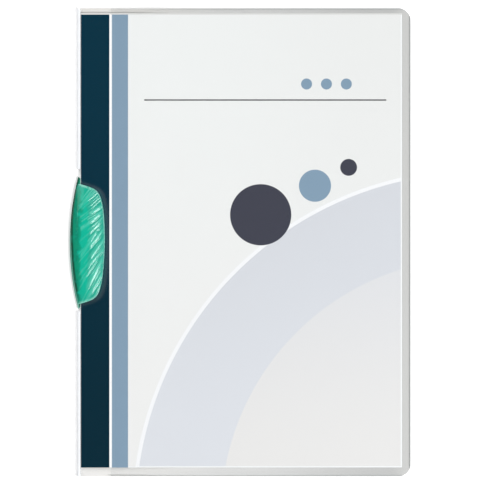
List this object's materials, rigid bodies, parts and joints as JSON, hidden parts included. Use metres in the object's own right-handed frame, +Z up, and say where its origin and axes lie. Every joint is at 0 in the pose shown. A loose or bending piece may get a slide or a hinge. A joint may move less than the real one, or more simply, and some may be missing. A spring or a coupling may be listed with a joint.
{
  "type": "clip folder",
  "caption": "Flat A4 document folder of translucent plastic film with a printed insert and a ribbed clip that turns out of a slot in the spine.",
  "frame": {"origin": "on the ground under the middle of the closed folder, clip included, lying on its back cover", "axes": "+X from the spine to the fore edge, +Y towards the head of the page, +Z up out of the front cover"},
  "size_m": [0.2228, 0.306, 0.0065],
  "materials": {
    "folded_cover": "translucent frosted polypropylene film",
    "front_cover": "translucent frosted polypropylene film",
    "insert_sheet": "printed paper with plain bands",
    "pivot_stud": "moulded white plastic",
    "spine_clip": "glossy translucent green moulding"
  },
  "bodies": {
    "back": {"folded_cover": "folded_cover", "insert_sheet": "insert_sheet", "pivot_stud": "pivot_stud"},
    "front": {"front_cover": "front_cover"},
    "clip": {"spine_clip": "spine_clip"}
  },
  "joints": [
    {"name": "clip_pivot", "type": "hinge", "parent": "back", "child": "clip", "pos_m": [-0.10057, 0.0385, 0.0013], "axis": [0, 0, -1], "range_deg": [0, 90]},
    {"name": "front_cover_hinge", "type": "hinge", "parent": "back", "child": "front", "pos_m": [-0.08468, 0, 0.0027], "axis": [0, -1, 0], "range_deg": [0, 150]}
  ]
}
